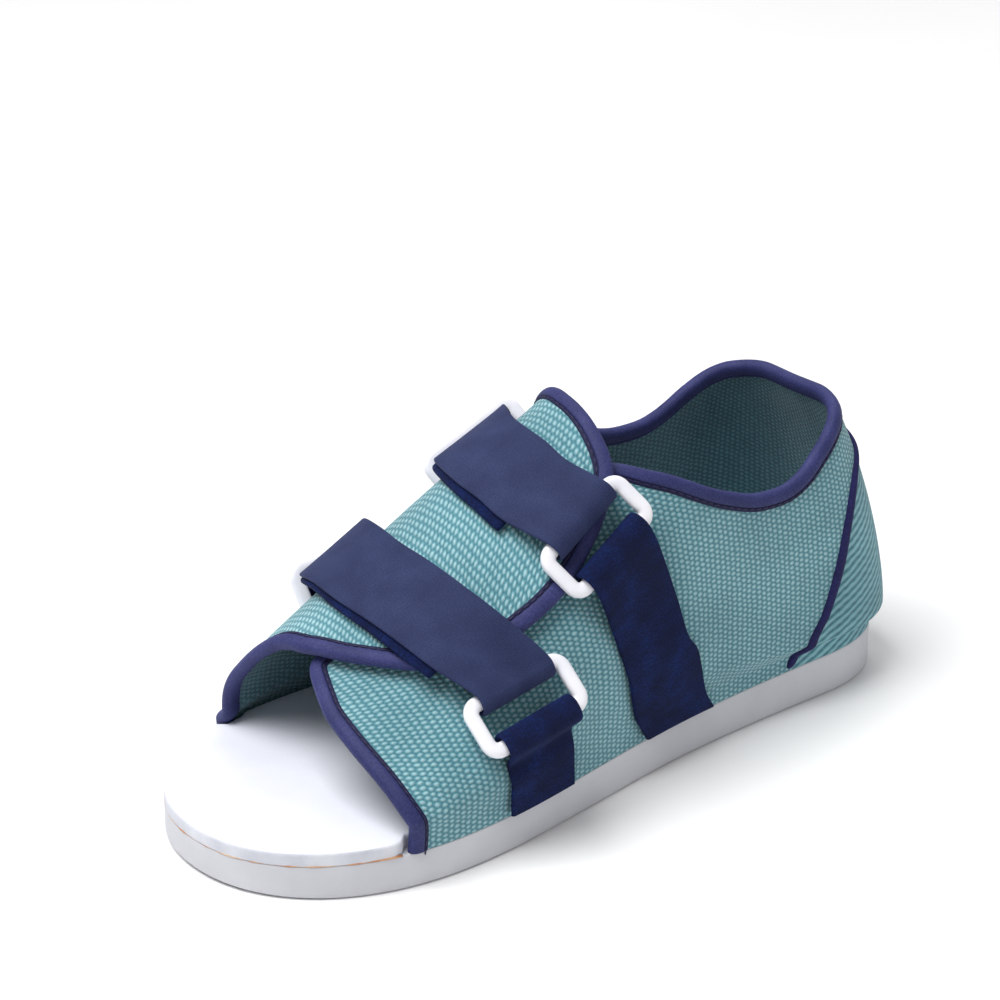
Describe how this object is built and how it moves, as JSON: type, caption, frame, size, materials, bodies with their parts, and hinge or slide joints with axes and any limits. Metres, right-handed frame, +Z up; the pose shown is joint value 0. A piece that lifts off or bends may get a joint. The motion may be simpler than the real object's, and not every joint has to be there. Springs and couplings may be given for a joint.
{
  "type": "post operative shoe",
  "caption": "Open toed post operative shoe: flat rocker sole, mesh upper with an overlapping flap, and instep straps that run through plastic rings.",
  "frame": {"origin": "middle of the bounding box, on the floor under the flat sole", "axes": "+Z up; toe towards -Y, heel towards +Y; outer side of the left foot towards +X"},
  "size_m": [0.1274, 0.279, 0.12],
  "materials": {
    "mesh": "light teal knitted mesh with rows of small holes",
    "binding": "purple navy folded edge tape",
    "hook": "smooth heathered navy strap tape",
    "plush": "deep navy napped loop tape",
    "ring": "glossy white moulded plastic",
    "outsole": "light grey matte foam",
    "footbed": "white matte foam"
  },
  "bodies": {
    "root": {"outsole": "outsole", "footbed": "footbed", "upper": "mesh", "binding": "binding", "piping_outer": "binding", "piping_inner": "binding", "plush_front_outer": "plush", "ring_front_outer": "ring", "ring_front_inner": "ring", "hook_tape_front": "hook", "pile_tape_front": "plush", "plush_front_inner": "plush", "plush_back_outer": "plush", "ring_back_outer": "ring", "ring_back_inner": "ring", "hook_tape_back": "hook", "pile_tape_back": "plush", "plush_back_inner": "plush"}
  },
  "joints": []
}
